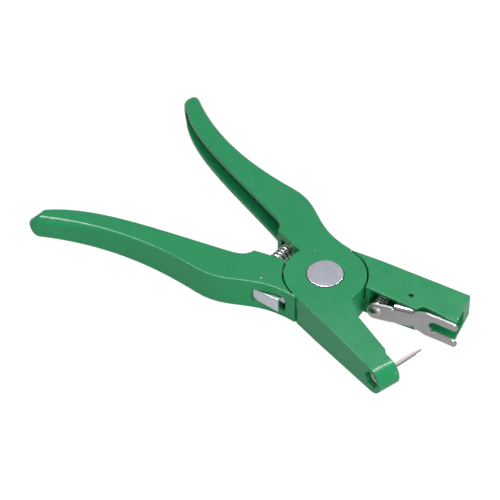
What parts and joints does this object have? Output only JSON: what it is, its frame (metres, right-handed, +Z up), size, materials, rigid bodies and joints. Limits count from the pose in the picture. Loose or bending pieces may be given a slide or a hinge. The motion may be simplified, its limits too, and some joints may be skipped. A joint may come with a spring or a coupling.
{
  "type": "ear tag pliers",
  "caption": "Hand pliers with half-lapped die-cast levers, a stepped applicator pin facing a sprung fork clip, a coil return spring and a handle latch, for fixing ear tags.",
  "frame": {"origin": "on the pivot axis, at the underside of the hub, where the pivot screw's flat head ends flush", "axes": "+X along the middle line between the open jaws, towards the jaws; +Z up along the pivot axis; the clip jaw lies on the +Y side and the pin jaw on the -Y side"},
  "size_m": [0.239, 0.1414, 0.0204],
  "materials": {
    "green_paint": "satin paint on die-cast aluminium",
    "pivot_steel": "satin zinc plate",
    "spring_wire": "bright wire",
    "latch_steel": "satin",
    "clip_steel": "satin sheet",
    "pin_steel": "ground",
    "nut_steel": "satin zinc plate"
  },
  "bodies": {
    "clip_side": {"clip_lever": "green_paint", "pivot_barrel": "pivot_steel", "pivot_screw": "pivot_steel", "pivot_washer": "pivot_steel", "main_spring": "spring_wire", "latch_pin": "pin_steel", "latch_spring": "spring_wire", "clip_hinge_pin": "pin_steel", "clip_spring": "spring_wire"},
    "pin_side": {"pin_lever": "green_paint", "applicator_pin": "pin_steel", "pin_nut": "nut_steel"},
    "latch": {"latch_lever": "latch_steel"},
    "clip": {"clip_plate": "clip_steel", "clip_rivet": "clip_steel"}
  },
  "joints": [
    {"name": "pliers_pivot", "type": "hinge", "parent": "clip_side", "child": "pin_side", "pos_m": [0, 0, 0.01], "axis": [0, 0, 1], "range_deg": [0, 26], "stiffness_Nm_per_rad": 1.2, "springref_deg": -28.65, "deforming": ["main_spring"]},
    {"name": "clip_hinge", "type": "hinge", "parent": "clip_side", "child": "clip", "pos_m": [0.04541, 0.01849, 0.01], "axis": [0, 0, -1], "range_deg": [0, 6], "stiffness_Nm_per_rad": 0.15, "springref_deg": -11.46, "deforming": ["clip_spring"]},
    {"name": "latch_hinge", "type": "hinge", "parent": "clip_side", "child": "latch", "pos_m": [-0.0255, -0.0244, 0.01], "axis": [0, 0, 1], "range_deg": [0, 4], "stiffness_Nm_per_rad": 0.02, "springref_deg": -11.46, "deforming": ["latch_spring"]}
  ]
}
